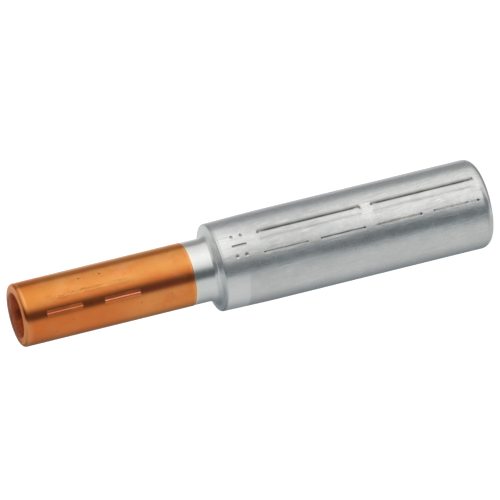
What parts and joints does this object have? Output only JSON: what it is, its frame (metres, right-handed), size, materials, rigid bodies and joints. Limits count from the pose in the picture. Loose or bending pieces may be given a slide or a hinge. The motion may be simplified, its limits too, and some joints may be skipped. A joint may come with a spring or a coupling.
{
  "type": "bimetallic compression connector",
  "caption": "Straight through connector: a copper sleeve friction-welded to a wider aluminium sleeve with a turned neck, a blind conductor bore in each end and stamped crimping marks.",
  "frame": {"origin": "centre of the aluminium sleeve's mouth face, which the connector stands on", "axes": "+Z along the common axis, from the aluminium mouth to the copper mouth; the side with the crimping marks faces -Y"},
  "size_m": [0.0142, 0.0142, 0.0763],
  "materials": {
    "aluminium": "satin drawn aluminium, turned neck",
    "copper": "bright drawn copper"
  },
  "bodies": {
    "root": {"aluminium_sleeve": "aluminium", "copper_sleeve": "copper"}
  },
  "joints": []
}
